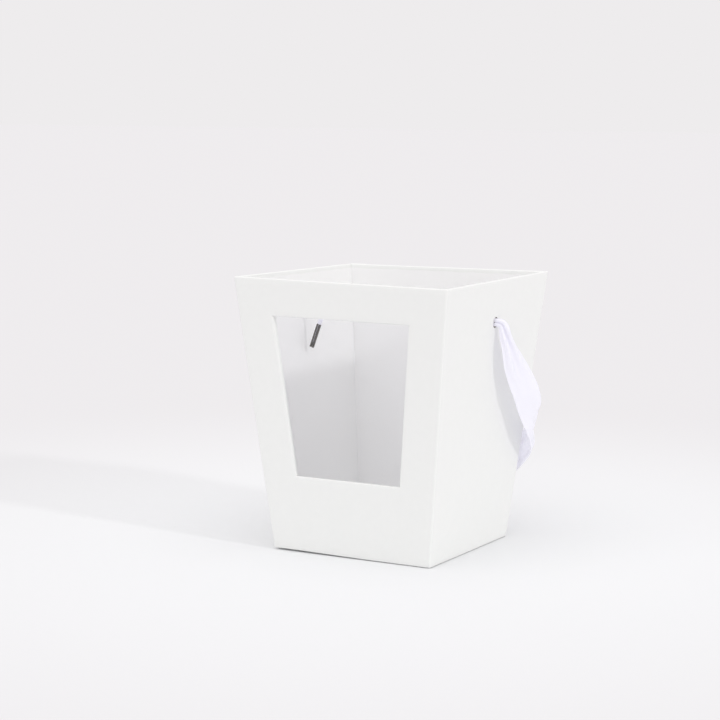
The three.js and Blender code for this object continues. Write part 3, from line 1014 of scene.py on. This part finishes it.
# %% Route of the handle
MOUTH = half_width(HOLE_Z)
LOOP_HEIGHT = 33 * MM
LOOP_STAND_OFF = 8 * MM
BUNCH = 3 * MM  # half the ribbon's width where it is gathered in its hole
KNOT_STEPS = 24  # steps of the curve between two places
ROUTE_SPACING = 2 * MM
TAIL_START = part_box("right_ribbon_tail")[1][0] - 0.2 * MM
NECK_END = TAIL_START + 2.3 * MM  # leaves room for the tail to swing
# Beside the wall, in millimetres: [out from the hole's mouth, back from the hole], then
# [share of the way down, half of the ribbon's width, share that it leans].
ARM = [
    ([4.5, 1], [0.008, 3.4, 0.05]),
    ([7.5, 3], [0.08, 4.8, 0.1]),
    ([9, 12.5], [0.205, 9.9, 0.18]),
    ([9.5, 26.5], [0.336, 12.4, 0.26]),
    ([9, 41], [0.453, 12.5, 0.4]),
    ([7, 53], [0.551, 12.5, 0.33]),
]
# Round the corner: [out from the side wall, out from the back wall], then the same.
LOOP = [
    ([12, -10], [0.62, 11.5, 0.15]),
    ([6, 0.5], [0.695, 10, 0.03]),
    ([-5.3, 6.5], [0.788, 10.2, 0.06]),
    ([-24, 8.5], [0.902, 11.5, 0.1]),
    ([-46, 8], [0.975, 12.5, 0.1]),
]


def handle_knots():
    """The right half's knots, then the middle: (place, share of the full width, lean)."""
    knots = [((NECK_END, 0, HOLE_Z), 2 * BUNCH / RIBBON_WIDTH, 0.0)]
    knots.append(((MOUTH + 1 * MM, 0, HOLE_Z), 2 * BUNCH / RIBBON_WIDTH, 0.0))
    for (out, back), (fall, half, lean) in ARM:
        z = HOLE_Z - fall * (HOLE_Z - LOOP_HEIGHT)
        knots.append(((MOUTH + out * MM, back * MM, z), 2 * half * MM / RIBBON_WIDTH, lean))
    for (out, behind), (fall, half, lean) in LOOP:
        z = HOLE_Z - fall * (HOLE_Z - LOOP_HEIGHT)
        wall = half_width(z)
        knots.append(((wall + out * MM, wall + behind * MM, z), 2 * half * MM / RIBBON_WIDTH, lean))
    middle = (0, half_width(LOOP_HEIGHT) + LOOP_STAND_OFF, LOOP_HEIGHT)
    return knots + [(middle, 1.0, knots[-1][2])]


def smooth_curve(knots, spacing):
    """A centripetal Catmull-Rom curve through rows of numbers, whose first three are a place."""
    rows = np.array(knots, dtype=float)
    rows = np.vstack([2 * rows[0] - rows[1], rows, 2 * rows[-1] - rows[-2]])
    gaps = np.linalg.norm(np.diff(rows[:, :3], axis=0), axis=1) ** 0.5
    times = np.concatenate([[0], np.cumsum(gaps)])
    out = []
    for i in range(1, len(rows) - 2):
        t0, t1, t2, t3 = times[i - 1 : i + 3]
        p0, p1, p2, p3 = rows[i - 1 : i + 3]
        for t in np.linspace(t1, t2, KNOT_STEPS, endpoint=False):
            a1 = ((t1 - t) * p0 + (t - t0) * p1) / (t1 - t0)
            a2 = ((t2 - t) * p1 + (t - t1) * p2) / (t2 - t1)
            a3 = ((t3 - t) * p2 + (t - t2) * p3) / (t3 - t2)
            b1 = ((t2 - t) * a1 + (t - t0) * a2) / (t2 - t0)
            b2 = ((t3 - t) * a2 + (t - t1) * a3) / (t3 - t1)
            out.append(((t2 - t) * b1 + (t - t1) * b2) / (t2 - t1))
    out = np.array(out + [rows[-2]])
    run = np.concatenate([[0], np.cumsum(np.linalg.norm(np.diff(out[:, :3], axis=0), axis=1))])
    even = np.linspace(0, run[-1], int(run[-1] / spacing) + 1)
    return np.column_stack([np.interp(even, run, column) for column in out.T])


knot_rows = [(*place, share, lean) for place, share, lean in handle_knots()]
half_route = smooth_curve(knot_rows, ROUTE_SPACING)
other_half = half_route[::-1][1:] * np.array([-1, 1, 1, 1, 1])
handle_route = np.vstack([half_route, other_half])
handle_length = np.linalg.norm(np.diff(handle_route[:, :3], axis=0), axis=1).sum()
print(f"handle: {handle_length / MM:.0f} mm of ribbon outside the walls")

# %% [markdown]
# ## The ribbon's pleats
#
# Cloth can't shrink, so where a hole gathers 25 mm of ribbon to 6 mm it has to fold. A strip that
# folds evenly follows a sine-generated curve: the direction that its section runs in swings to and
# fro as a sine. The steeper the swing, the narrower the ribbon gets, and its length across never
# changes. The route is given to the next step as a line of vertices that carry, at each place, the
# directions across and through the ribbon, and how tightly it is gathered.


# %% Gathering
def fold_angle(share):
    """The steepest slope of the pleats, in radians, that gathers the ribbon to this share."""
    angles = np.linspace(0, 2.25, 120)
    phases = np.linspace(0, math.tau, 64, endpoint=False)
    widths = [np.cos(angle * np.sin(phases)).mean() for angle in angles]
    return np.interp(share, widths[::-1], angles[::-1])


def route_object(name, route, squash):
    """The route as a line of vertices that carry each section's directions and gathering."""
    places = route[:, :3]
    along = np.gradient(places, axis=0)
    along /= np.linalg.norm(along, axis=1)[:, None]
    outward = np.column_stack([along[:, 1], -along[:, 0], np.zeros(len(along))])
    outward /= np.linalg.norm(outward, axis=1)[:, None]
    for i in range(1, len(outward)):
        if outward[i] @ outward[i - 1] < 0:  # where the route turns back, its outside stays outside
            outward[i] *= -1
    up = np.cross(outward, along)
    away = np.cross(along, up)
    lean = route[:, 4:5]
    across = up * np.sqrt(1 - lean**2) + away * lean
    values = {"across": across, "through": np.cross(along, across)}
    mesh = bpy.data.meshes.new(name)
    edges = [(i, i + 1) for i in range(len(places) - 1)]
    mesh.from_pydata([tuple(place) for place in places], edges, [])
    for label, vectors in values.items():
        mesh.attributes.new(label, "FLOAT_VECTOR", "POINT").data.foreach_set("vector", vectors.ravel())
    folds = [fold_angle(min(share, 1.0)) for share in route[:, 3]]
    mesh.attributes.new("fold", "FLOAT", "POINT").data.foreach_set("value", folds)
    mesh.attributes.new("squash", "FLOAT", "POINT").data.foreach_set("value", squash)
    piece = bpy.data.objects.new(name, mesh)
    bpy.context.scene.collection.objects.link(piece)
    return piece


steepest = math.degrees(fold_angle(0.25))
print(f"gathered to a quarter of its width, the cloth slopes by up to {steepest:.0f} degrees")

# %% [markdown]
# ## The ribbon's node tree
#
# A ribbon follows a path and its pleats follow a rule, so Geometry Nodes make it: a grid is laid
# out, each row adds up its small steps across and centres them, and each row is put on the route
# with the route's own directions. Noise adds a slight ripple. It could be modelled by hand, but
# then a new route or another number of pleats would mean starting again.

# %% Ribbon tree
RIPPLE_SIZE = 18 * MM


def ribbon_tree():
    """Sweeps a pleated ribbon along the route that it is given."""
    tree = bpy.data.node_groups.new("pleated ribbon", "GeometryNodeTree")
    face = tree.interface
    face.new_socket("Route", in_out="INPUT", socket_type="NodeSocketGeometry")
    for name, kind in (
        ("Width", "Float"), ("Length", "Float"), ("Pleats", "Float"), ("Steps across", "Int"),
        ("Steps along", "Int"), ("Ripple", "Float"), ("Seed", "Float"), ("Finish", "Material"),
    ):
        face.new_socket(name, in_out="INPUT", socket_type=f"NodeSocket{kind}")
    face.new_socket("Ribbon", in_out="OUTPUT", socket_type="NodeSocketGeometry")

    def add(kind, inputs=None, **settings):
        return add_node(tree, kind, inputs, **settings)

    given = add("NodeGroupInput").outputs
    curve = add("GeometryNodeMeshToCurve", {"Mesh": given["Route"]}).outputs["Curve"]
    grid = add("GeometryNodeMeshGrid", {
        "Size X": 1.0, "Size Y": 1.0,
        "Vertices X": given["Steps across"], "Vertices Y": given["Steps along"],
    }).outputs["Mesh"]
    spot = add("ShaderNodeSeparateXYZ", {"Vector": add("GeometryNodeInputPosition").outputs[0]}).outputs
    across_share = add("ShaderNodeMath", {0: spot["X"], 1: 0.5}, operation="ADD").outputs[0]
    along_share = add("ShaderNodeMath", {0: spot["Y"], 1: 0.5}, operation="ADD").outputs[0]
    rows_up = add("ShaderNodeMath", {0: along_share, 1: given["Steps along"]}, operation="MULTIPLY")
    row = add("ShaderNodeMath", {0: rows_up.outputs[0]}, operation="ROUND").outputs[0]

    def on_route(name, kind):
        """What the route says under this name, beside each point of the grid."""
        label = add("GeometryNodeInputNamedAttribute", {"Name": name}, data_type=kind)
        return add("GeometryNodeSampleCurve", {
            "Curves": curve, "Factor": along_share, "Value": label.outputs["Attribute"],
        }, mode="FACTOR", data_type=kind).outputs["Value"]

    def centred(step):
        """The sum of the steps up to each point of a row, less the row's mean."""
        running = add("GeometryNodeAccumulateField", {
            "Value": step, "Group ID": row,
        }, data_type="FLOAT", domain="POINT").outputs["Trailing"]
        total = add("GeometryNodeAccumulateField", {
            "Value": running, "Group ID": row,
        }, data_type="FLOAT", domain="POINT").outputs["Total"]
        mean = add("ShaderNodeMath", {0: total, 1: given["Steps across"]}, operation="DIVIDE")
        return add("ShaderNodeMath", {0: running, 1: mean.outputs[0]}, operation="SUBTRACT").outputs[0]

    # The slope of the section swings as a sine across the ribbon, and steeper where it is gathered.
    waves = add("ShaderNodeMath", {0: across_share, 1: given["Pleats"]}, operation="MULTIPLY").outputs[0]
    turns = add("ShaderNodeMath", {0: waves, 1: math.tau}, operation="MULTIPLY").outputs[0]
    swing = add("ShaderNodeMath", {0: turns}, operation="SINE").outputs[0]
    fold = on_route("fold", "FLOAT")
    slope = add("ShaderNodeMath", {0: fold, 1: swing}, operation="MULTIPLY").outputs[0]

    # Each small step across keeps its length, until squash presses the pleats flatter.
    gaps = add("ShaderNodeMath", {0: given["Steps across"], 1: 1.0}, operation="SUBTRACT").outputs[0]
    step = add("ShaderNodeMath", {0: given["Width"], 1: gaps}, operation="DIVIDE").outputs[0]
    flat_part = add("ShaderNodeMath", {0: slope}, operation="COSINE").outputs[0]
    steep_part = add("ShaderNodeMath", {0: slope}, operation="SINE").outputs[0]
    step_across = add("ShaderNodeMath", {0: flat_part, 1: step}, operation="MULTIPLY").outputs[0]
    step_out = add("ShaderNodeMath", {0: steep_part, 1: step}, operation="MULTIPLY").outputs[0]
    sideways = centred(step_across)
    outwards = add("ShaderNodeMath", {
        0: centred(step_out), 1: on_route("squash", "FLOAT"),
    }, operation="MULTIPLY").outputs[0]

    # The flat ribbon's own places in metres are its UV map, and the noise reads them too.
    flat_x = add("ShaderNodeMath", {0: across_share, 1: given["Width"]}, operation="MULTIPLY").outputs[0]
    flat_y = add("ShaderNodeMath", {0: along_share, 1: given["Length"]}, operation="MULTIPLY").outputs[0]
    flat_place = add("ShaderNodeCombineXYZ", {"X": flat_x, "Y": flat_y}).outputs[0]
    coarse = add("ShaderNodeVectorMath", {0: flat_place, "Scale": 1 / RIPPLE_SIZE}, operation="SCALE")
    noise = add("ShaderNodeTexNoise", {
        "Vector": coarse.outputs[0], "W": given["Seed"], "Scale": 1.0, "Detail": 0.0,
    }, noise_dimensions="4D").outputs["Fac"]
    to_and_fro = add("ShaderNodeMath", {0: noise, 1: 0.5}, operation="SUBTRACT").outputs[0]
    ripple = add("ShaderNodeMath", {0: to_and_fro, 1: given["Ripple"]}, operation="MULTIPLY").outputs[0]

    out_by = add("ShaderNodeMath", {0: outwards, 1: ripple}, operation="ADD").outputs[0]
    through = add("ShaderNodeVectorMath", {
        0: on_route("through", "FLOAT_VECTOR"), "Scale": out_by,
    }, operation="SCALE").outputs[0]
    across = add("ShaderNodeVectorMath", {
        0: on_route("across", "FLOAT_VECTOR"), "Scale": sideways,
    }, operation="SCALE").outputs[0]
    shift = add("ShaderNodeVectorMath", {0: across, 1: through}, operation="ADD").outputs[0]
    sampled = add("GeometryNodeSampleCurve", {"Curves": curve, "Factor": along_share}, mode="FACTOR")
    place = add("ShaderNodeVectorMath", {
        0: sampled.outputs["Position"], 1: shift,
    }, operation="ADD").outputs[0]

    marked = add("GeometryNodeStoreNamedAttribute", {
        "Geometry": grid, "Name": "UVMap", "Value": flat_place,
    }, data_type="FLOAT2", domain="CORNER").outputs["Geometry"]
    swept = add("GeometryNodeSetPosition", {"Geometry": marked, "Position": place}).outputs["Geometry"]
    real = add("GeometryNodeRealizeInstances", {"Geometry": swept}).outputs["Geometry"]
    painted = add("GeometryNodeSetMaterial", {"Geometry": real, "Material": given["Finish"]})
    add("NodeGroupOutput", {"Ribbon": painted.outputs["Geometry"]})
    return tree


pleated_ribbon = ribbon_tree()
print(f"pleated ribbon tree: {len(pleated_ribbon.nodes)} nodes")

# %% [markdown]
# ## The handle
#
# The handle is swept along its route with two pleats, which open as it leaves the hole. Squash
# presses the pleats flatter beside the hole than their rule would leave them, as a hand does when it
# pulls the ribbon through. That takes a little of the cloth's width away there. The result is kept
# as a plain mesh before any other step.

# %% Handle
STEPS_ACROSS = 61
ROW_SPACING = 1.2 * MM


def sweep_ribbon(name, route, pleats, ripple, seed, squash):
    """A ribbon piece: the node tree's result as a plain mesh, with its thickness."""
    length = np.linalg.norm(np.diff(route[:, :3], axis=0), axis=1).sum()
    piece = route_object(name, route, squash)
    modifier = piece.modifiers.new("ribbon", "NODES")
    modifier.node_group = pleated_ribbon
    values = {
        "Width": RIBBON_WIDTH,
        "Length": float(length),
        "Pleats": pleats,
        "Steps across": STEPS_ACROSS,
        "Steps along": int(length / ROW_SPACING),
        "Ripple": ripple,
        "Seed": seed,
        "Finish": satin,
    }
    for item in pleated_ribbon.interface.items_tree:
        if item.name in values:
            modifier[item.identifier] = values[item.name]
    bake_modifiers(piece)
    give_thickness(piece, RIBBON_THICKNESS, offset=0.0, even=False)
    shade(piece, angle=70)
    return piece, length


place_number = np.arange(len(handle_route))
from_hole = np.minimum(place_number, place_number[::-1]) * ROUTE_SPACING
handle_squash = np.interp(from_hole, [0, 8 * MM, 45 * MM], [0.75, 0.5, 1.0])
handle, handle_length = sweep_ribbon(
    "satin_handle", handle_route, pleats=2.0, ripple=0.8 * MM, seed=3.0, squash=handle_squash
)
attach(handle, "handle")
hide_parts("ribbon_handle")
print(f"handle ribbon: {len(handle.data.polygons)} faces")

# %% [markdown]
# ## The ribbon's ends
#
# Inside each wall the same ribbon goes on: out of the hole, over in a small arch and down into its barb,
# gathered tightly and pressed flatter towards the barb. The same node tree sweeps it, along a short
# route of its own, which is a list of given places.

# %% Ribbon ends
BARB_TURN = math.radians(20)
BARB_LENGTH = 18.7 * MM
BARB_GRIP = 15 * MM  # length of ribbon inside the barb
TAIL_SPACING = 0.5 * MM
PRESSED_AT = 0.62  # share of the tail's length where the barb has pressed its pleats
PRESSED = 0.38  # share of their depth that is left
barb_up = np.array([-math.sin(BARB_TURN), 0, math.cos(BARB_TURN)])
barb_low, barb_high = (np.array(corner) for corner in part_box("right_barb"))
barb_middle = (barb_low + barb_high) / 2
barb_top = barb_middle + barb_up * BARB_LENGTH / 2


def tail_route():
    """The right end's route, from its hole into its barb."""
    start = np.array([TAIL_START, 0, HOLE_Z])
    inwards = TAIL_START - barb_top[0]
    knots = [
        (start, 0.14),
        (start + (-0.35 * inwards, 0, 0.6 * MM), 0.16),
        (start + (-0.75 * inwards, 0, -1.2 * MM), 0.17),
        (barb_top + barb_up * 4.5 * MM, 0.13),
        (barb_top + barb_up * 0.8 * MM, 0.1),
        (barb_top - barb_up * BARB_GRIP, 0.1),
    ]
    return smooth_curve([(*place, share, 0.0) for place, share in knots], TAIL_SPACING)


right_route = tail_route()
bend = PRESSED_AT * len(right_route)
tail_squash = np.interp(np.arange(len(right_route)), [0, bend], [1.0, PRESSED])
for name, way in (("right", 1), ("left", -1)):
    route = right_route * np.array([way, 1, 1, 1, 1])
    tail, tail_length = sweep_ribbon(
        f"{name}_satin_tail", route, pleats=4.5, ripple=0.1 * MM, seed=5.0 + way, squash=tail_squash
    )
    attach(tail, f"{name}_tail")
    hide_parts(f"{name}_ribbon_tail")
    print(f"{tail.name}: {tail_length / MM:.1f} mm long, {len(tail.data.polygons)} faces")

# %% [markdown]
# ## Barbs
#
# Each barb is a strip of thin steel folded round the ribbon's end, with an open seam, and pressed a
# little flatter in three places so that it bites. Its section is a rounded rectangle, drawn once
# round, and each row along it is scaled where the press has pinched it. A bevelled box would be
# quicker, but it would have neither the seam nor the pinches.

# %% Barbs
BARB_WIDTH = 3.4 * MM
BARB_DEPTH = 2.2 * MM
BARB_WALL = 0.45 * MM
BARB_SLIT = 0.4 * MM
BARB_CORNER = 0.7 * MM
BARB_EDGE = 0.08 * MM
BARB_CORNER_STEPS = 6
BARB_ROWS = 60
PINCHES = (0.2, 0.5, 0.8)  # shares of the barb's length
PINCH_SPREAD = 0.05
PINCH = 0.16  # share of the depth that a pinch takes away
BULGE = 0.05  # share of the width that it adds
FLARE = 0.06  # share by which both ends are opened
FLARE_FADE = 25


def barb_section():
    """The outside of the strip's section, once round from one side of the seam to the other."""
    half_x, half_y = BARB_WIDTH / 2, BARB_DEPTH / 2
    points = [(BARB_SLIT / 2, -half_y)]
    for quarter, (side_x, side_y) in enumerate(((1, -1), (1, 1), (-1, 1), (-1, -1))):
        for step in range(BARB_CORNER_STEPS + 1):
            turn = (quarter - 1 + step / BARB_CORNER_STEPS) * math.pi / 2
            points.append((
                side_x * (half_x - BARB_CORNER) + BARB_CORNER * math.cos(turn),
                side_y * (half_y - BARB_CORNER) + BARB_CORNER * math.sin(turn),
            ))
    return points + [(-BARB_SLIT / 2, -half_y)]


def make_barb(name, way):
    """The barb on one side: way is 1 for the right wall and -1 for the left."""
    section = barb_section()
    across = np.array([math.cos(BARB_TURN), 0, math.sin(BARB_TURN)])
    points = []
    for row in range(BARB_ROWS):
        share = row / (BARB_ROWS - 1)
        dent = sum(math.exp(-(((share - pinch) / PINCH_SPREAD) ** 2)) for pinch in PINCHES)
        mouth = math.exp(-share * FLARE_FADE) + math.exp((share - 1) * FLARE_FADE)
        centre = barb_top + barb_up * BARB_LENGTH * (share - 1)
        wider = 1 + BULGE * dent
        deeper = 1 - PINCH * dent + FLARE * mouth
        for x, y in section:
            place = centre + across * x * wider + np.array([0, y, 0]) * deeper
            points.append(place * np.array([way, 1, 1]))
    columns = len(section)
    faces = []
    for row in range(BARB_ROWS - 1):
        for column in range(columns - 1):
            corner = row * columns + column
            quad = (corner, corner + 1, corner + columns + 1, corner + columns)
            faces.append(quad if way > 0 else quad[::-1])
    piece = new_piece(f"{name}_crimped_barb", points, faces, dark_steel)
    give_thickness(piece, BARB_WALL)
    round_edges(piece, BARB_EDGE, sharper_than=60)
    shade(piece, angle=50)
    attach(piece, f"{name}_tail")
    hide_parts(f"{name}_barb")
    print(f"{piece.name}: {len(piece.data.polygons)} faces")


make_barb("right", 1)
make_barb("left", -1)

# %% [markdown]
# ## Stage and light
#
# White on white needs very even light, so a pale sky does most of it. The floor is matt white paper that
# reaches far behind the box. Light is painted into its tone: it is painted brighter near the box, as a
# pool of studio light, and fades with distance to the sky's, so no horizon shows. A curved backdrop
# would do the same, but a flat floor is seen from every side alike.

# %% Stage
scene = bpy.context.scene
scene.view_settings.view_transform = "Standard"
SKY = "#EEECED"
# Painted light: the floor near the box is painted brighter, as a pool of studio light, and far out it
# matches the sky.
PAINTED_LIT_FLOOR = "#EAEBEC"
FAR_FLOOR = "#E1E0E1"
FLOOR_REACH = 30.0
FADE_START = 0.12
FADE_END = 0.75

world = bpy.data.worlds.new("white studio")
scene.world = world
world.use_nodes = True
world.node_tree.nodes["Background"].inputs["Color"].default_value = linear(SKY)


def floor_finish():
    """Matt white paper on the table, painted brighter near the box as a pool of light, whose tone fades
    to the sky's with distance.
    """
    material, tree, output = new_material("matt white floor paper")
    place = add_node(tree, "ShaderNodeTexCoord").outputs["Object"]
    distance = add_node(tree, "ShaderNodeVectorMath", {0: place}, operation="LENGTH").outputs["Value"]
    fade = add_node(tree, "ShaderNodeMapRange", {
        "Value": distance, "From Min": FADE_START, "From Max": FADE_END,
    }, interpolation_type="SMOOTHSTEP")
    # Painted light: brighter near the box, fading to the sky's tone further out.
    tone = add_node(tree, "ShaderNodeMix", {"Factor": fade.outputs["Result"]}, data_type="RGBA")
    tone.inputs["A"].default_value = linear(PAINTED_LIT_FLOOR)
    tone.inputs["B"].default_value = linear(FAR_FLOOR)
    shader = add_node(tree, "ShaderNodeBsdfPrincipled", {
        "Base Color": tone.outputs["Result"], "Roughness": 1.0, "Specular IOR Level": 0.0,
    })
    tree.links.new(shader.outputs["BSDF"], output.inputs["Surface"])
    return material


corners = [(x * FLOOR_REACH, y * FLOOR_REACH, 0) for x, y in ((-1, -1), (1, -1), (1, 1), (-1, 1))]
floor = new_piece("floor", corners, [(0, 1, 2, 3)], floor_finish())
floor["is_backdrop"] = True
print(f"floor: {2 * FLOOR_REACH:.0f} m wide")

# %% [markdown]
# ## Suns
#
# A small sun, low on the right, draws the ribbon's shadow on the wall. A broad one overhead lifts
# the floor and the inside of the back wall, and a weak one from the front fills the wall with the
# window. Suns are used, not area lamps, because they light the floor evenly to its far edge.


# %% Suns
def soft_sun(name, towards, power, spread):
    """A white sun that shines from a direction, its disc spread degrees wide."""
    lamp = bpy.data.lights.new(name, "SUN")
    lamp.energy = power
    lamp.angle = math.radians(spread)
    holder = bpy.data.objects.new(name, lamp)
    bpy.context.scene.collection.objects.link(holder)
    holder.rotation_mode = "QUATERNION"
    holder.rotation_quaternion = Vector(towards).to_track_quat("Z", "Y")


soft_sun("side sun", (1.0, -0.2, 0.48), 0.46, 5)
soft_sun("overhead sun", (0.05, -0.35, 1.0), 0.74, 70)
soft_sun("front sun", (0.1, -1.0, 0.3), 0.06, 50)

# %% [markdown]
# ## Finish
#
# The box round every finished piece is measured, and how far it reaches past the CAD model's box is
# printed.

# %% Finish
visual_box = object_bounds()
growth = max(made - given for given, made in zip(cad_box[1], visual_box[1]))
print(f"the finished box reaches {growth / MM:.1f} mm past the CAD model's")
